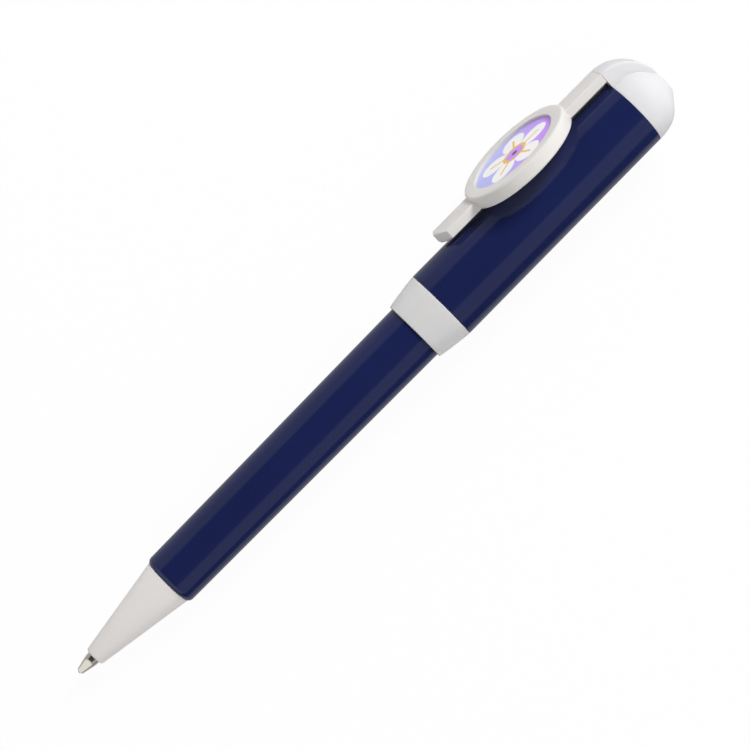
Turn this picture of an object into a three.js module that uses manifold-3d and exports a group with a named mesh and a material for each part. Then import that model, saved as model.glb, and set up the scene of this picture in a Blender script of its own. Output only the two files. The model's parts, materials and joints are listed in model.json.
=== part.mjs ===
// A twist-action ballpoint pen lying on a table, in millimetres, +Z up.
//
// Every piece is made in the pen's own frame: +X runs along the pen's axis from the writing point
// to the cap, +Z points out through the clip, and x = 0 is the front of the writing ball with the
// point twisted out. The last section lays the pen down on the three places it rests on.
import * as THREE from "three";
import { mergeVertices } from "three/addons/utils/BufferGeometryUtils.js";
import Module from "manifold-3d";

const wasm = await Module();
wasm.setup();

// Fits shared by all the pieces
const seam = 0.05; // gap between two faces that are pushed together
const slipFit = 0.05; // radial gap of a fixed fit
const runFit = 0.12; // radial gap of a fit that turns or slides
const endPlay = 0.3; // gap along the axis beside a piece that turns

// Facets round a full turn
const outerFacets = 48;
const innerFacets = 32;

// Twist and travel
const travel = 5; // how far the refill slides when the pen is twisted shut
const twistTurn = Math.PI; // turn of the upper half that gives that travel

// Writing ball and metal point
const ballRadius = 0.4;
const ballGap = 0.03;
const pointLipX = 0.35;
const pointLipWall = 0.16;
const pointConeLength = 2.65;
const pointRadius = 1.2;
const pointBodyLength = 6;
const shankLength = 2.2;
const shankRadius = 0.75;
const inkBoreRadius = 0.3;

// Adapter between the point and the ink tube, with the collar that the spring pushes on
const adapterRadius = 1.27;
const adapterNeckLength = 2;
const adapterBodyLength = 10;
const adapterTailLength = 3.5;
const adapterBoreRadius = 0.5;
const collarRadius = 1.78;
const collarWidth = 1;

// Ink tube
const tubeRadius = 1.5;
const tubeBoreRadius = 0.95;
const inkLength = 52;
const plugLength = 2.4;

// Nose cone
const pointReach = 3.75; // how far the point stands out of the nose
const noseLength = 17.68;
const noseMouthRadius = 1.46;
const noseMouthRound = 0.34;
const noseBackRadius = 4.51;
const noseMouthBore = 1.32;
const springChamberX = 7; // from the nose's mouth to the shoulder that the spring sits on
const springChamberRadius = 2.02;
const noseSpigotLength = 9.5;

// Return spring
const springWire = 0.2; // radius of the wire
const springTurns = 9;
const springStepsPerTurn = 12;
const springSides = 6;

// Lower barrel
const lowerLength = 62.97;
const lowerFrontRadius = 4.96;
const lowerBackRadius = 5.42;
const lowerEdgeLength = 0.95; // the rounded front edge, along the axis
const lowerEdgeDepth = 0.45; // and across it
const lowerBore = 4;
const lowerBackBore = 4.25;
const lowerBackBoreDepth = 12.5;

// Bush, guide tube and retaining ring, which stay still with the lower barrel
const bushLength = 11;
const flangeRadius = 5.1;
const flangeThickness = 1.1;
const guideRadius = 3.3;
const guideBore = 2.3;
const guideGrip = 10; // length of guide tube inside the bush
const guideTail = 0.3; // length of guide tube past the retaining ring
const retainerRadius = 4.25;
const retainerThickness = 1.1;

// Cam follower: it pushes the ink tube and is moved by its two lugs
const followerLength = 16;
const socketDepth = 5;
const lugX = 19.1; // from the cam sleeve's front to the lugs, with the point out
const lugRadius = 0.6;
const lugGap = 0.16;
const lugToFollowerFront = 11;

// Cam sleeve and drive drum, which turn with the upper barrel
const camLength = 35;
const camRadius = 4.48;
const slotOverrun = 0.26; // extra turn of each helical slot past the lug, in radians
const slotSteps = 28;
const drumLength = 26;

// Centre ring
const ringLength = 6.28;
const ringOverlap = 4.1; // length of lower barrel inside the ring
const ringFrontRadius = 5.88;
const ringBulge = 0.06;
const ringEdge = 0.12;
const ringSpigotLength = 5.5;
const ringShoulder = 0.6; // from the ring's inner shoulder to its back face

// Upper barrel
const upperLength = 45.6;
const upperFrontRadius = 6.75;
const upperBackRadius = 6.68;
const upperBore = 5.55;

// Domed cap, with the rib that carries the clip
const domeLength = 7.25;
const domeFlatRadius = 2.4;
const domeSlope = 50; // degrees between the axis and the slope that runs to the flat end
const domeRoundLength = 2.6; // length that the round flank takes off the slope
const domeWall = 1.3;
const domeSpigotLength = 5;
const domeSpigotWall = 1;
const ribTipWidth = 3;
const ribTipHeight = 3.2;
const ribBulgeX = 3.4; // the curve of the rib's back is drawn towards these two points: along the
const ribBulgeDrop = 0.05; // dome and below the rib's top
const ribBrowX = 6.4;
const ribBrowDrop = 2.4;

// Clip
const clipWidth = 5.5;
const clipThickness = 1.65;
const clipGap = 0.9; // between the arm and the upper barrel at its wide end
const clipLength = 38.2;
const clipEndGap = 0.3; // between the arm's end and the cap's rib
const toeLength = 1.9; // the toe is cut off slantwise, with a long chamfer on one side
const toeCutWidth = 3.9;
const toeCornerLength = 0.45; // and a small one on the other
const padLength = 4.6; // the low pad under the toe pinches cloth against the barrel
const padWidth = 1.6;
const padGap = 0.45;
const tenonLength = 1.6; // on both sides of the arm's end
const tenonRise = 0.1; // above the arm's underside
const tenonWidth = 3.4;
const tenonThickness = 0.5;
const pocketGap = 0.28;

// Disc in the middle of the clip, and the printed badge in its recess
const discRadius = 11;
const discThickness = 2.63;
const discProud = 0.73; // height of the disc's face above the arm
const discFromToe = 19.32;
const discEdge = 0.3;
const badgeRadius = 8.45;
const badgeThickness = 0.6;
const badgeSunk = 0.45;

// Places along the axis that the sizes above give
const noseFrontX = pointReach;
const noseBackX = noseFrontX + noseLength;
const springSeatX = noseFrontX + springChamberX;
const lowerFrontX = noseBackX + seam;
const lowerBackX = lowerFrontX + lowerLength;
const pointBackX = pointLipX + pointConeLength + pointBodyLength;
const adapterFrontX = pointBackX + seam;
const adapterBodyX = adapterFrontX + adapterNeckLength;
const adapterBackX = adapterBodyX + adapterBodyLength;
const collarX = adapterBackX - collarWidth;
const tubeFrontX = adapterBackX + seam;
const flangeX = lowerBackX + seam;
const camFrontX = flangeX + flangeThickness + endPlay;
const camBackX = camFrontX + camLength;
const retainerX = camBackX + endPlay;
const guideFrontX = lowerBackX - guideGrip;
const guideBackX = retainerX + retainerThickness + guideTail;
const lugRestX = camFrontX + lugX;
const followerFrontX = lugRestX - lugToFollowerFront;
const followerBackX = followerFrontX + followerLength;
const tubeBackX = followerFrontX + socketDepth;
const ringFrontX = lowerBackX - ringOverlap;
const ringBackX = ringFrontX + ringLength;
const upperFrontX = ringBackX + seam;
const upperBackX = upperFrontX + upperLength;
const drumFrontX = ringBackX + ringSpigotLength + endPlay;
const domeX = upperBackX + seam;
const clipBackX = domeX - clipEndGap + seam;
const clipToeX = clipBackX - clipLength;
const discX = clipToeX + discFromToe;

// Heights above the axis, on the clip's side
const armBottom = upperFrontRadius + clipGap;
const armTop = armBottom + clipThickness;
const discTop = armTop + discProud;
const discBottom = discTop - discThickness;
const tenonBottom = armBottom + tenonRise;

// Materials

const plastic = (color, roughness) => new THREE.MeshStandardMaterial({ color, roughness, metalness: 0 });
const metal = (color, roughness) => new THREE.MeshStandardMaterial({ color, roughness, metalness: 1 });
const navyPlastic = plastic(0x1a2150, 0.16);
const whitePlastic = plastic(0xe6e3df, 0.35);
const capPlastic = plastic(0xefeef0, 0.3);
const clipPlastic = plastic(0xdcd7d0, 0.35);
const badgePrint = plastic(0xb99bf5, 0.4);
const pointMetal = metal(0xc9c6b8, 0.22);
const steel = metal(0xb8babd, 0.3);
const brass = metal(0xc6a35a, 0.35);
const tubePlastic = plastic(0xe9e9e2, 0.4);
const camPlastic = plastic(0xd7d4c8, 0.45);
const ink = plastic(0x141a3c, 0.5);

// Shapes

// Turns an outline of [x, radius] points round the pen's axis. An outline that stays clear of the
// axis is closed on itself, and one that starts and ends on the axis is left as it is.
function turned(outline, facets) {
  const points = outline.map(([x, radius]) => new THREE.Vector2(radius, x));
  const onAxis = points[0].x === 0;
  if (!onAxis) points.push(points[0].clone());
  return new THREE.LatheGeometry(points, facets).rotateZ(-Math.PI / 2);
}

// A plain tube or disc between two places on the axis.
function tube(fromX, toX, outerRadius, innerRadius, facets = innerFacets) {
  const outline = [
    [fromX, outerRadius],
    [toX, outerRadius],
    [toX, innerRadius],
    [fromX, innerRadius],
  ];
  return turned(outline, facets);
}

// Points of a curve as an outline's [x, radius] pairs.
const along = (curve, steps) => curve.getPoints(steps).map((p) => [p.x, p.y]);

function box(fromX, toX, width, fromZ, toZ) {
  const made = new THREE.BoxGeometry(toX - fromX, width, toZ - fromZ);
  return made.translate((fromX + toX) / 2, 0, (fromZ + toZ) / 2);
}

// A plan outline, drawn in X and Y, given a thickness from one height to another.
function plate(shape, fromZ, toZ) {
  const made = new THREE.ExtrudeGeometry(shape, { depth: toZ - fromZ, bevelEnabled: false, curveSegments: 8 });
  return made.translate(0, 0, fromZ);
}

// A side outline, drawn in X and Z, given a width across the pen.
function rail(shape, width) {
  const made = new THREE.ExtrudeGeometry(shape, { depth: width, bevelEnabled: false, curveSegments: 12 });
  return made.rotateX(Math.PI / 2).translate(0, width / 2, 0);
}

// Moves every point of a geometry by a function of the point.
function reshaped(geometry, move) {
  const place = geometry.getAttribute("position");
  for (let i = 0; i < place.count; i++) {
    const p = move(new THREE.Vector3().fromBufferAttribute(place, i));
    place.setXYZ(i, p.x, p.y, p.z);
  }
  return geometry;
}

// Booleans

function solid(geometry) {
  const bare = geometry.clone();
  for (const name of ["normal", "uv"]) bare.deleteAttribute(name);
  const merged = mergeVertices(bare, 1e-4);
  const triVerts = new Uint32Array(merged.index.array);
  const vertProperties = new Float32Array(merged.getAttribute("position").array);
  return new wasm.Manifold(new wasm.Mesh({ numProp: 3, vertProperties, triVerts }));
}

function geometryOf(made) {
  const mesh = made.getMesh();
  const geometry = new THREE.BufferGeometry();
  geometry.setAttribute("position", new THREE.BufferAttribute(new Float32Array(mesh.vertProperties), 3));
  geometry.setIndex(new THREE.BufferAttribute(new Uint32Array(mesh.triVerts), 1));
  geometry.computeVertexNormals();
  return geometry;
}

const join = (...geometries) => geometries.map(solid).reduce((a, b) => a.add(b));
const cut = (from, ...geometries) => geometries.map(solid).reduce((a, b) => a.subtract(b), from);

// Refill

function writingBall() {
  return new THREE.SphereGeometry(ballRadius, 16, 10).translate(ballRadius, 0, 0);
}

function refillPoint() {
  const socketRadius = ballRadius + ballGap;
  const socketBackX = 2 * ballRadius + ballGap;
  const coneBackX = pointLipX + pointConeLength;
  const shankBackX = pointBackX + shankLength;
  const outline = [
    [pointLipX, socketRadius + pointLipWall],
    [coneBackX, pointRadius],
    [pointBackX, pointRadius],
    [pointBackX, shankRadius],
    [shankBackX, shankRadius],
    [shankBackX, inkBoreRadius],
    [socketBackX, inkBoreRadius],
    [socketBackX, socketRadius],
    [pointLipX, socketRadius],
  ];
  return turned(outline, innerFacets);
}

function pointAdapter() {
  const shankSeat = shankRadius + slipFit;
  const shankSeatX = pointBackX + shankLength + seam;
  const tailRadius = tubeBoreRadius - slipFit;
  const tailX = adapterBackX + adapterTailLength;
  const outline = [
    [adapterFrontX, pointRadius],
    [adapterBodyX, pointRadius],
    [adapterBodyX, adapterRadius],
    [adapterBackX, adapterRadius],
    [adapterBackX, tailRadius],
    [tailX, tailRadius],
    [tailX, adapterBoreRadius],
    [shankSeatX, adapterBoreRadius],
    [shankSeatX, shankSeat],
    [adapterFrontX, shankSeat],
  ];
  return turned(outline, innerFacets);
}

function springCollar() {
  return tube(collarX, collarX + collarWidth, collarRadius, adapterRadius + slipFit);
}

function refillTube() {
  return tube(tubeFrontX, tubeBackX, tubeRadius, tubeBoreRadius);
}

function rod(fromX, toX, radius) {
  const outline = [
    [fromX, 0],
    [fromX, radius],
    [toX, radius],
    [toX, 0],
  ];
  return turned(outline, innerFacets);
}

function inkColumn() {
  const fromX = adapterBackX + adapterTailLength + seam;
  return rod(fromX, fromX + inkLength, tubeBoreRadius - slipFit);
}

function tubePlug() {
  return rod(tubeBackX - plugLength, tubeBackX, tubeBoreRadius - slipFit);
}

function camFollower() {
  const bodyRadius = guideBore - runFit;
  const socketX = tubeBackX + seam;
  const socketRadius = tubeRadius + slipFit;
  const outline = [
    [socketX, 0],
    [socketX, socketRadius],
    [followerFrontX, socketRadius],
    [followerFrontX, bodyRadius],
    [followerBackX, bodyRadius],
    [followerBackX, 0],
  ];
  const lugReach = camRadius - runFit;
  const lugs = new THREE.CylinderGeometry(lugRadius, lugRadius, 2 * lugReach, 16);
  return geometryOf(join(turned(outline, innerFacets), lugs.translate(lugRestX, 0, 0)));
}

// Lower half

function noseCone() {
  const mouthTop = noseMouthRadius + noseMouthRound;
  const mouthRound = new THREE.QuadraticBezierCurve(
    new THREE.Vector2(noseFrontX, noseMouthRadius),
    new THREE.Vector2(noseFrontX, mouthTop - 0.1),
    new THREE.Vector2(noseFrontX + noseMouthRound, mouthTop),
  );
  const spigotRadius = lowerBore - slipFit;
  const spigotX = noseBackX + noseSpigotLength;
  const outline = [
    ...along(mouthRound, 5),
    [noseBackX, noseBackRadius],
    [noseBackX, spigotRadius],
    [spigotX, spigotRadius],
    [spigotX, springChamberRadius],
    [springSeatX, springChamberRadius],
    [springSeatX, noseMouthBore],
    [noseFrontX, noseMouthBore],
  ];
  return turned(outline, outerFacets);
}

// The wire is a straight cylinder wound round the axis, from the nose's shoulder to the collar.
function returnSpring() {
  const coilRadius = (springChamberRadius + adapterRadius) / 2;
  const fromX = springSeatX + seam + springWire;
  const toX = collarX - seam - springWire;
  const rise = toX - fromX;
  const steps = springTurns * springStepsPerTurn;
  const wire = new THREE.CylinderGeometry(springWire, springWire, 1, springSides, steps);
  return reshaped(wire, (p) => {
    const share = p.y + 0.5;
    const turn = share * springTurns * 2 * Math.PI;
    const radius = coilRadius + p.x;
    return new THREE.Vector3(fromX + share * rise + p.z, radius * Math.cos(turn), radius * Math.sin(turn));
  });
}

function lowerBarrel() {
  const edge = new THREE.QuadraticBezierCurve(
    new THREE.Vector2(lowerFrontX, lowerFrontRadius - lowerEdgeDepth),
    new THREE.Vector2(lowerFrontX + lowerEdgeLength / 3, lowerFrontRadius),
    new THREE.Vector2(lowerFrontX + lowerEdgeLength, lowerFrontRadius),
  );
  const backBoreX = lowerBackX - lowerBackBoreDepth;
  const outline = [
    ...along(edge, 5),
    [lowerBackX, lowerBackRadius],
    [lowerBackX, lowerBackBore],
    [backBoreX, lowerBackBore],
    [backBoreX, lowerBore],
    [lowerFrontX, lowerBore],
  ];
  return turned(outline, outerFacets);
}

function barrelBush() {
  const bodyRadius = lowerBackBore - slipFit;
  const seatRadius = guideRadius + slipFit;
  const fromX = lowerBackX - bushLength;
  const flangeBackX = flangeX + flangeThickness;
  const outline = [
    [fromX, bodyRadius],
    [flangeX, bodyRadius],
    [flangeX, flangeRadius],
    [flangeBackX, flangeRadius],
    [flangeBackX, seatRadius],
    [fromX, seatRadius],
  ];
  return turned(outline, innerFacets);
}

// Two straight slots keep the follower's lugs from turning.
function guideTube() {
  const slotHalf = lugRadius + lugGap;
  const slot = box(
    lugRestX - slotHalf,
    lugRestX + travel + slotHalf,
    2 * (guideRadius + 1),
    -slotHalf,
    slotHalf,
  );
  return geometryOf(cut(solid(tube(guideFrontX, guideBackX, guideRadius, guideBore)), slot));
}

function retainingRing() {
  return tube(retainerX, retainerX + retainerThickness, retainerRadius, guideRadius + slipFit);
}

// Turning sleeve

// One helical slot: a long box bent round the axis. Its middle passes the lug's rest place at turn 0
// and reaches the lug's shut place after the full twist, the other way round the axis.
function helicalSlot(startTurn) {
  const innerRadius = guideRadius;
  const outerRadius = camRadius + 0.5;
  const lead = travel / twistTurn;
  const helixAngle = Math.atan(lead / guideRadius);
  const halfWidth = (lugRadius + lugGap) / Math.cos(helixAngle);
  const fromTurn = -slotOverrun;
  const toTurn = twistTurn + slotOverrun;
  const strip = new THREE.BoxGeometry(1, 1, 1, slotSteps, 1, 1);
  return reshaped(strip, (p) => {
    const turn = fromTurn + (p.x + 0.5) * (toTurn - fromTurn);
    const radius = innerRadius + (p.z + 0.5) * (outerRadius - innerRadius);
    const x = lugRestX + lead * turn - p.y * 2 * halfWidth;
    const angle = startTurn - turn;
    return new THREE.Vector3(x, radius * Math.cos(angle), radius * Math.sin(angle));
  });
}

function camSleeve() {
  const sleeve = solid(tube(camFrontX, camBackX, camRadius, guideRadius + runFit));
  return geometryOf(cut(sleeve, helicalSlot(0), helicalSlot(Math.PI)));
}

function driveDrum() {
  return tube(drumFrontX, drumFrontX + drumLength, upperBore - slipFit, camRadius + slipFit);
}

// Upper half

function centreRing() {
  const bore = lowerBackRadius + runFit;
  const shoulderX = ringBackX - ringShoulder;
  const spigotX = ringBackX + ringSpigotLength;
  const spigotRadius = upperBore - slipFit;
  const spigotBore = camRadius + slipFit;
  const middle = (ringFrontRadius + upperFrontRadius) / 2 + 2 * ringBulge;
  const side = new THREE.QuadraticBezierCurve(
    new THREE.Vector2(ringFrontX + ringEdge, ringFrontRadius),
    new THREE.Vector2((ringFrontX + ringBackX) / 2, middle),
    new THREE.Vector2(ringBackX - ringEdge, upperFrontRadius),
  );
  const outline = [
    [ringFrontX, ringFrontRadius - ringEdge],
    ...along(side, 6),
    [ringBackX, upperFrontRadius - ringEdge],
    [ringBackX, spigotRadius],
    [spigotX, spigotRadius],
    [spigotX, spigotBore],
    [shoulderX, spigotBore],
    [shoulderX, bore],
    [ringFrontX, bore],
  ];
  return turned(outline, outerFacets);
}

function upperBarrel() {
  const outline = [
    [upperFrontX, upperFrontRadius],
    [upperBackX, upperBackRadius],
    [upperBackX, upperBore],
    [upperFrontX, upperBore],
  ];
  return turned(outline, outerFacets);
}

// Round flank, then a straight slope to the flat end.
function domeOutline() {
  const slope = THREE.MathUtils.degToRad(domeSlope);
  const turnX = domeX + domeLength - (upperBackRadius - domeFlatRadius) / Math.tan(slope);
  const flankBackX = turnX + domeRoundLength * Math.cos(slope);
  const flank = new THREE.QuadraticBezierCurve(
    new THREE.Vector2(domeX, upperBackRadius),
    new THREE.Vector2(turnX, upperBackRadius),
    new THREE.Vector2(flankBackX, upperBackRadius - domeRoundLength * Math.sin(slope)),
  );
  return [...along(flank, 8), [domeX + domeLength, domeFlatRadius]];
}

// The rib that carries on the line of the clip over the dome, narrower towards the dome's end.
function ribSolid() {
  const endX = domeX + domeLength;
  const side = new THREE.Shape();
  side.moveTo(domeX, 0);
  side.lineTo(domeX, armTop);
  side.bezierCurveTo(
    domeX + ribBulgeX,
    armTop - ribBulgeDrop,
    domeX + ribBrowX,
    armTop - ribBrowDrop,
    endX,
    ribTipHeight,
  );
  side.lineTo(endX, 0);
  side.closePath();
  const half = clipWidth / 2;
  const tip = ribTipWidth / 2;
  const plan = new THREE.Shape();
  plan.moveTo(domeX - 1, -half);
  plan.lineTo(domeX, -half);
  plan.quadraticCurveTo(domeX + domeLength / 2, -half, endX, -tip);
  plan.lineTo(endX, tip);
  plan.quadraticCurveTo(domeX + domeLength / 2, half, domeX, half);
  plan.lineTo(domeX - 1, half);
  plan.closePath();
  return solid(rail(side, clipWidth)).intersect(solid(plate(plan, 0, armTop + 1)));
}

function endDome() {
  const spigotRadius = upperBore - slipFit;
  const spigotX = domeX - domeSpigotLength;
  const spigotBore = spigotRadius - domeSpigotWall;
  const outside = [[spigotX, 0], [spigotX, spigotRadius], [domeX, spigotRadius]];
  const outer = turned([...outside, ...domeOutline(), [domeX + domeLength, 0]], outerFacets);
  const hollowRadius = upperBackRadius - domeWall;
  const hollow = new THREE.EllipseCurve(
    domeX,
    0,
    domeLength - domeWall,
    Math.min(hollowRadius, spigotBore),
    Math.PI / 2,
    0,
    true,
  );
  const inside = [[spigotX - 1, 0], [spigotX - 1, spigotBore], ...along(hollow, 8)];
  inside[inside.length - 1][1] = 0;
  const pocket = box(
    domeX - 1,
    clipBackX + tenonLength + pocketGap,
    tenonWidth + 2 * pocketGap,
    tenonBottom - pocketGap,
    tenonBottom + tenonThickness + pocketGap,
  );
  const keep = solid(outer).add(ribSolid());
  return geometryOf(cut(keep, turned(inside, innerFacets), pocket));
}

// Clip

function armPlan() {
  const half = clipWidth / 2;
  const plan = new THREE.Shape();
  plan.moveTo(clipToeX + toeLength, -half);
  plan.lineTo(clipBackX, -half);
  plan.lineTo(clipBackX, half);
  plan.lineTo(clipToeX + toeCornerLength, half);
  plan.lineTo(clipToeX, toeCutWidth - half);
  plan.closePath();
  return plan;
}

// The pad's side is a low curve, and its plan is kept inside the arm's.
function clipPad() {
  const backX = clipToeX + padLength;
  const low = upperFrontRadius + padGap;
  const high = armBottom + clipThickness / 2;
  const side = new THREE.Shape();
  side.moveTo(clipToeX, high);
  side.lineTo(clipToeX, (armBottom + low) / 2);
  side.quadraticCurveTo(clipToeX + padLength / 3, low, clipToeX + padLength / 2, low);
  side.quadraticCurveTo(clipToeX + (2 * padLength) / 3, low, backX, armBottom);
  side.lineTo(backX, high);
  side.closePath();
  return solid(rail(side, padWidth)).intersect(solid(plate(armPlan(), low, high)));
}

// A turned disc whose axis points out through the clip.
function facedDisc(radius, fromZ, toZ, edge) {
  const outline = [
    [fromZ, 0],
    [fromZ, radius - edge],
    [fromZ + edge, radius],
    [toZ - edge, radius],
    [toZ, radius - edge],
    [toZ, 0],
  ];
  return turned(outline, outerFacets)
    .rotateY(-Math.PI / 2)
    .translate(discX, 0, 0);
}

function clipArm() {
  const arm = plate(armPlan(), armBottom, armTop);
  const disc = facedDisc(discRadius, discBottom, discTop, discEdge);
  const tenon = box(
    clipBackX - tenonLength,
    clipBackX + tenonLength,
    tenonWidth,
    tenonBottom,
    tenonBottom + tenonThickness,
  );
  const recessFloor = discTop - badgeSunk - badgeThickness - seam;
  const recess = facedDisc(badgeRadius + slipFit, recessFloor, discTop + 1, 0);
  return geometryOf(cut(join(arm, disc, tenon).add(clipPad()), recess));
}

function badgeDisc() {
  const top = discTop - badgeSunk;
  return facedDisc(badgeRadius, top - badgeThickness, top, 0);
}

// Assembly

const pen = new THREE.Group();

function add(name, geometry, material) {
  const mesh = new THREE.Mesh(geometry, material);
  mesh.name = name;
  pen.add(mesh);
}

add("writing_ball", writingBall(), steel);
add("refill_point", refillPoint(), pointMetal);
add("point_adapter", pointAdapter(), brass);
add("spring_collar", springCollar(), brass);
add("refill_tube", refillTube(), tubePlastic);
add("ink_column", inkColumn(), ink);
add("tube_plug", tubePlug(), tubePlastic);
add("cam_follower", camFollower(), camPlastic);

add("nose_cone", noseCone(), whitePlastic);
add("return_spring", returnSpring(), steel);
add("lower_barrel", lowerBarrel(), navyPlastic);
add("barrel_bush", barrelBush(), camPlastic);
add("guide_tube", guideTube(), camPlastic);
add("retaining_ring", retainingRing(), steel);

add("cam_sleeve", camSleeve(), camPlastic);
add("drive_drum", driveDrum(), camPlastic);
add("centre_ring", centreRing(), whitePlastic);
add("upper_barrel", upperBarrel(), navyPlastic);
add("end_dome", endDome(), capPlastic);

add("clip_arm", clipArm(), clipPlastic);
add("badge_disc", badgeDisc(), badgePrint);

// Laid on a table: the lower barrel's front edge and the back edge of the centre ring touch it along
// the bottom, and the pen is rolled until the rim of the clip's disc touches it too.
const frontContactX = lowerFrontX + lowerEdgeLength;
const pitch = Math.atan((upperFrontRadius - lowerFrontRadius) / (ringBackX - frontContactX));
const axisHeight = (discX - frontContactX) * Math.tan(pitch) + lowerFrontRadius;
const rimReach = Math.hypot(discRadius, discBottom + discEdge);
const clipRise = Math.acos(axisHeight / rimReach) - Math.atan2(discBottom + discEdge, discRadius);
pen.rotation.set(clipRise - Math.PI / 2, 0, 0);

const table = new THREE.Group();
table.rotation.y = -pitch;
table.add(pen);

const root = new THREE.Group();
root.add(table);
root.updateMatrixWorld(true);
const bounds = new THREE.Box3().setFromObject(root, true);
const middle = bounds.getCenter(new THREE.Vector3());
table.position.set(-middle.x, -middle.y, -bounds.min.z);

export default root;
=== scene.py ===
import json
import math

import bmesh
import bpy
from bpy.props import FloatProperty, FloatVectorProperty, IntProperty, PointerProperty
from mathutils import Matrix, Vector
from mathutils.geometry import interpolate_bezier


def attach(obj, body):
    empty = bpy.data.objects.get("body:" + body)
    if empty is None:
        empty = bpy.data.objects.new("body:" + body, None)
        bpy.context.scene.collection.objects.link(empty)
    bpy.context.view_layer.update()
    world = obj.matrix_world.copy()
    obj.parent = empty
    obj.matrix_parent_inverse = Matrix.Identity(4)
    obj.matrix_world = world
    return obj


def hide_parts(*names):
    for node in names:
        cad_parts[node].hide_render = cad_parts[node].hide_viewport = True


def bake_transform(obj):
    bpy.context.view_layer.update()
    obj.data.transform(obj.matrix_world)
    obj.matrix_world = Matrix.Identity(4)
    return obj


bl_info = {
    "name": "Twist pen",
    "version": (1, 0, 0),
    "blender": (4, 5, 0),
    "location": "View3D > Sidebar > Pen",
    "description": "Makes the finished pieces of a twist-action ballpoint pen round its packed model",
    "category": "Object",
}

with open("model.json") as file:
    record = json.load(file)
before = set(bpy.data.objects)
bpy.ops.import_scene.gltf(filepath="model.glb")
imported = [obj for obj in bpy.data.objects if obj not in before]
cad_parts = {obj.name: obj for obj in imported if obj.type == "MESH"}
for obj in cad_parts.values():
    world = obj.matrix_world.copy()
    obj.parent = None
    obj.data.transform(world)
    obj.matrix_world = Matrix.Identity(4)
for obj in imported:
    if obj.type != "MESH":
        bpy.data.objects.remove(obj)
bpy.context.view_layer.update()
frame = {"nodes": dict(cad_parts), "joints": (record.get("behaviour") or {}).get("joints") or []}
joints = {joint["name"]: joint for joint in frame["joints"]}


# The pen's own frame, in millimetres: X along the axis from the writing ball, Z out through the clip

def pen_matrix():
    """Takes a point of the pen's own frame to its place on the table, in metres."""
    slide = joints["refill_slide"]
    along = Vector(slide["axis"]).normalized()
    across = Vector(joints["clip_flex"]["axis"]).normalized()
    turn = Matrix((along, across, along.cross(across))).transposed().to_4x4()
    return Matrix.Translation(slide["pos_m"]) @ turn @ Matrix.Scale(0.001, 4)


PEN = pen_matrix()

# Gap between two pieces that are pushed together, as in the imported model
SEAM = 0.05

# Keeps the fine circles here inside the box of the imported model's coarser ones
ROUND_FIT = 0.9994

# Faces round the point and round the clip's recess
SMALL_TURN_STEPS = 96

# The two handles of the rib's back: share of the rib's length, and drop under its top in millimetres
RIB_BULGE = (0.469, 0.05)
RIB_BROW = (0.883, 2.40)


def mm(size):
    """A property's metres as millimetres."""
    return size * 1000


def corners(node):
    """A CAD node's corners in the pen's own frame."""
    back = PEN.inverted()
    return [back @ vertex.co for vertex in frame["nodes"][node].data.vertices]


def radius(corner):
    return math.hypot(corner.y, corner.z)


def reach(node):
    """First and last place of a CAD node along the pen."""
    places = [corner.x for corner in corners(node)]
    return min(places), max(places)


def radius_at(node, place, pick=max):
    """The outer radius of a CAD node at a place along the pen, or with min the inner one."""
    return pick(radius(corner) for corner in corners(node) if abs(corner.x - place) < 0.02)


# Sizes and colours

def length(name, description, default):
    return FloatProperty(
        name=name,
        description=description,
        default=default,
        min=0,
        precision=5,
        unit="LENGTH",
        subtype="DISTANCE",
    )


def colour(name, description, default):
    return FloatVectorProperty(
        name=name, description=description, default=default, size=3, min=0, max=1, subtype="COLOR"
    )


class PenSizes(bpy.types.PropertyGroup):
    """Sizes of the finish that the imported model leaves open."""

    turn_steps: IntProperty(
        name="Steps in a turn", description="Faces round each turned piece", default=144, min=24, max=256
    )
    barrel_edge: length("Barrel edge", "Rounding of the ends of both barrels", 0.00010)
    ring_edge: length("Ring edge", "Rounding of the centre ring's two edges", 0.00014)
    ring_swell: length("Ring swell", "Height of the centre ring's curve over a straight line", 0.00012)
    nose_edge: length("Nose mouth", "Rounding of the nose's mouth", 0.00030)
    cap_corner: length("Cap corner", "Rounding where the dome meets its flat end", 0.00015)
    rib_edge: length("Rib edge", "Rounding of the long edges of the cap's rib", 0.00040)
    clip_edge: length("Clip edge", "Rounding of the clip's outer edges", 0.00020)
    disc_edge: length("Disc edge", "Rounding of the rim of the clip's disc", 0.00050)
    badge_crown: length("Badge crown", "Height of the badge's middle above its edge", 0.00006)


class PenColours(bpy.types.PropertyGroup):
    """Colours of the plastics, the metals and the print."""

    navy: colour("Navy", "Both barrels", (0.0078, 0.0133, 0.0690))
    nose: colour("Nose white", "Nose cone", (0.735, 0.702, 0.686))
    ring: colour("Ring white", "Centre ring", (0.630, 0.622, 0.620))
    cap: colour("Cap white", "Domed cap", (0.659, 0.656, 0.670))
    clip: colour("Clip white", "Clip and its disc", (0.692, 0.671, 0.648))
    violet: colour("Violet", "Print field, towards the cap", (0.590, 0.250, 1.000))
    periwinkle: colour("Periwinkle", "Print field, towards the nose", (0.480, 0.500, 0.980))
    petal: colour("Petal white", "Petals of the print", (0.980, 0.975, 0.970))
    amber: colour("Amber", "Lines of the print", (0.900, 0.560, 0.060))
    dot: colour("Dot", "Dark dot in the middle of the print", (0.020, 0.020, 0.025))
    point: colour("Point metal", "Metal point of the refill", (0.880, 0.850, 0.750))


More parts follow.
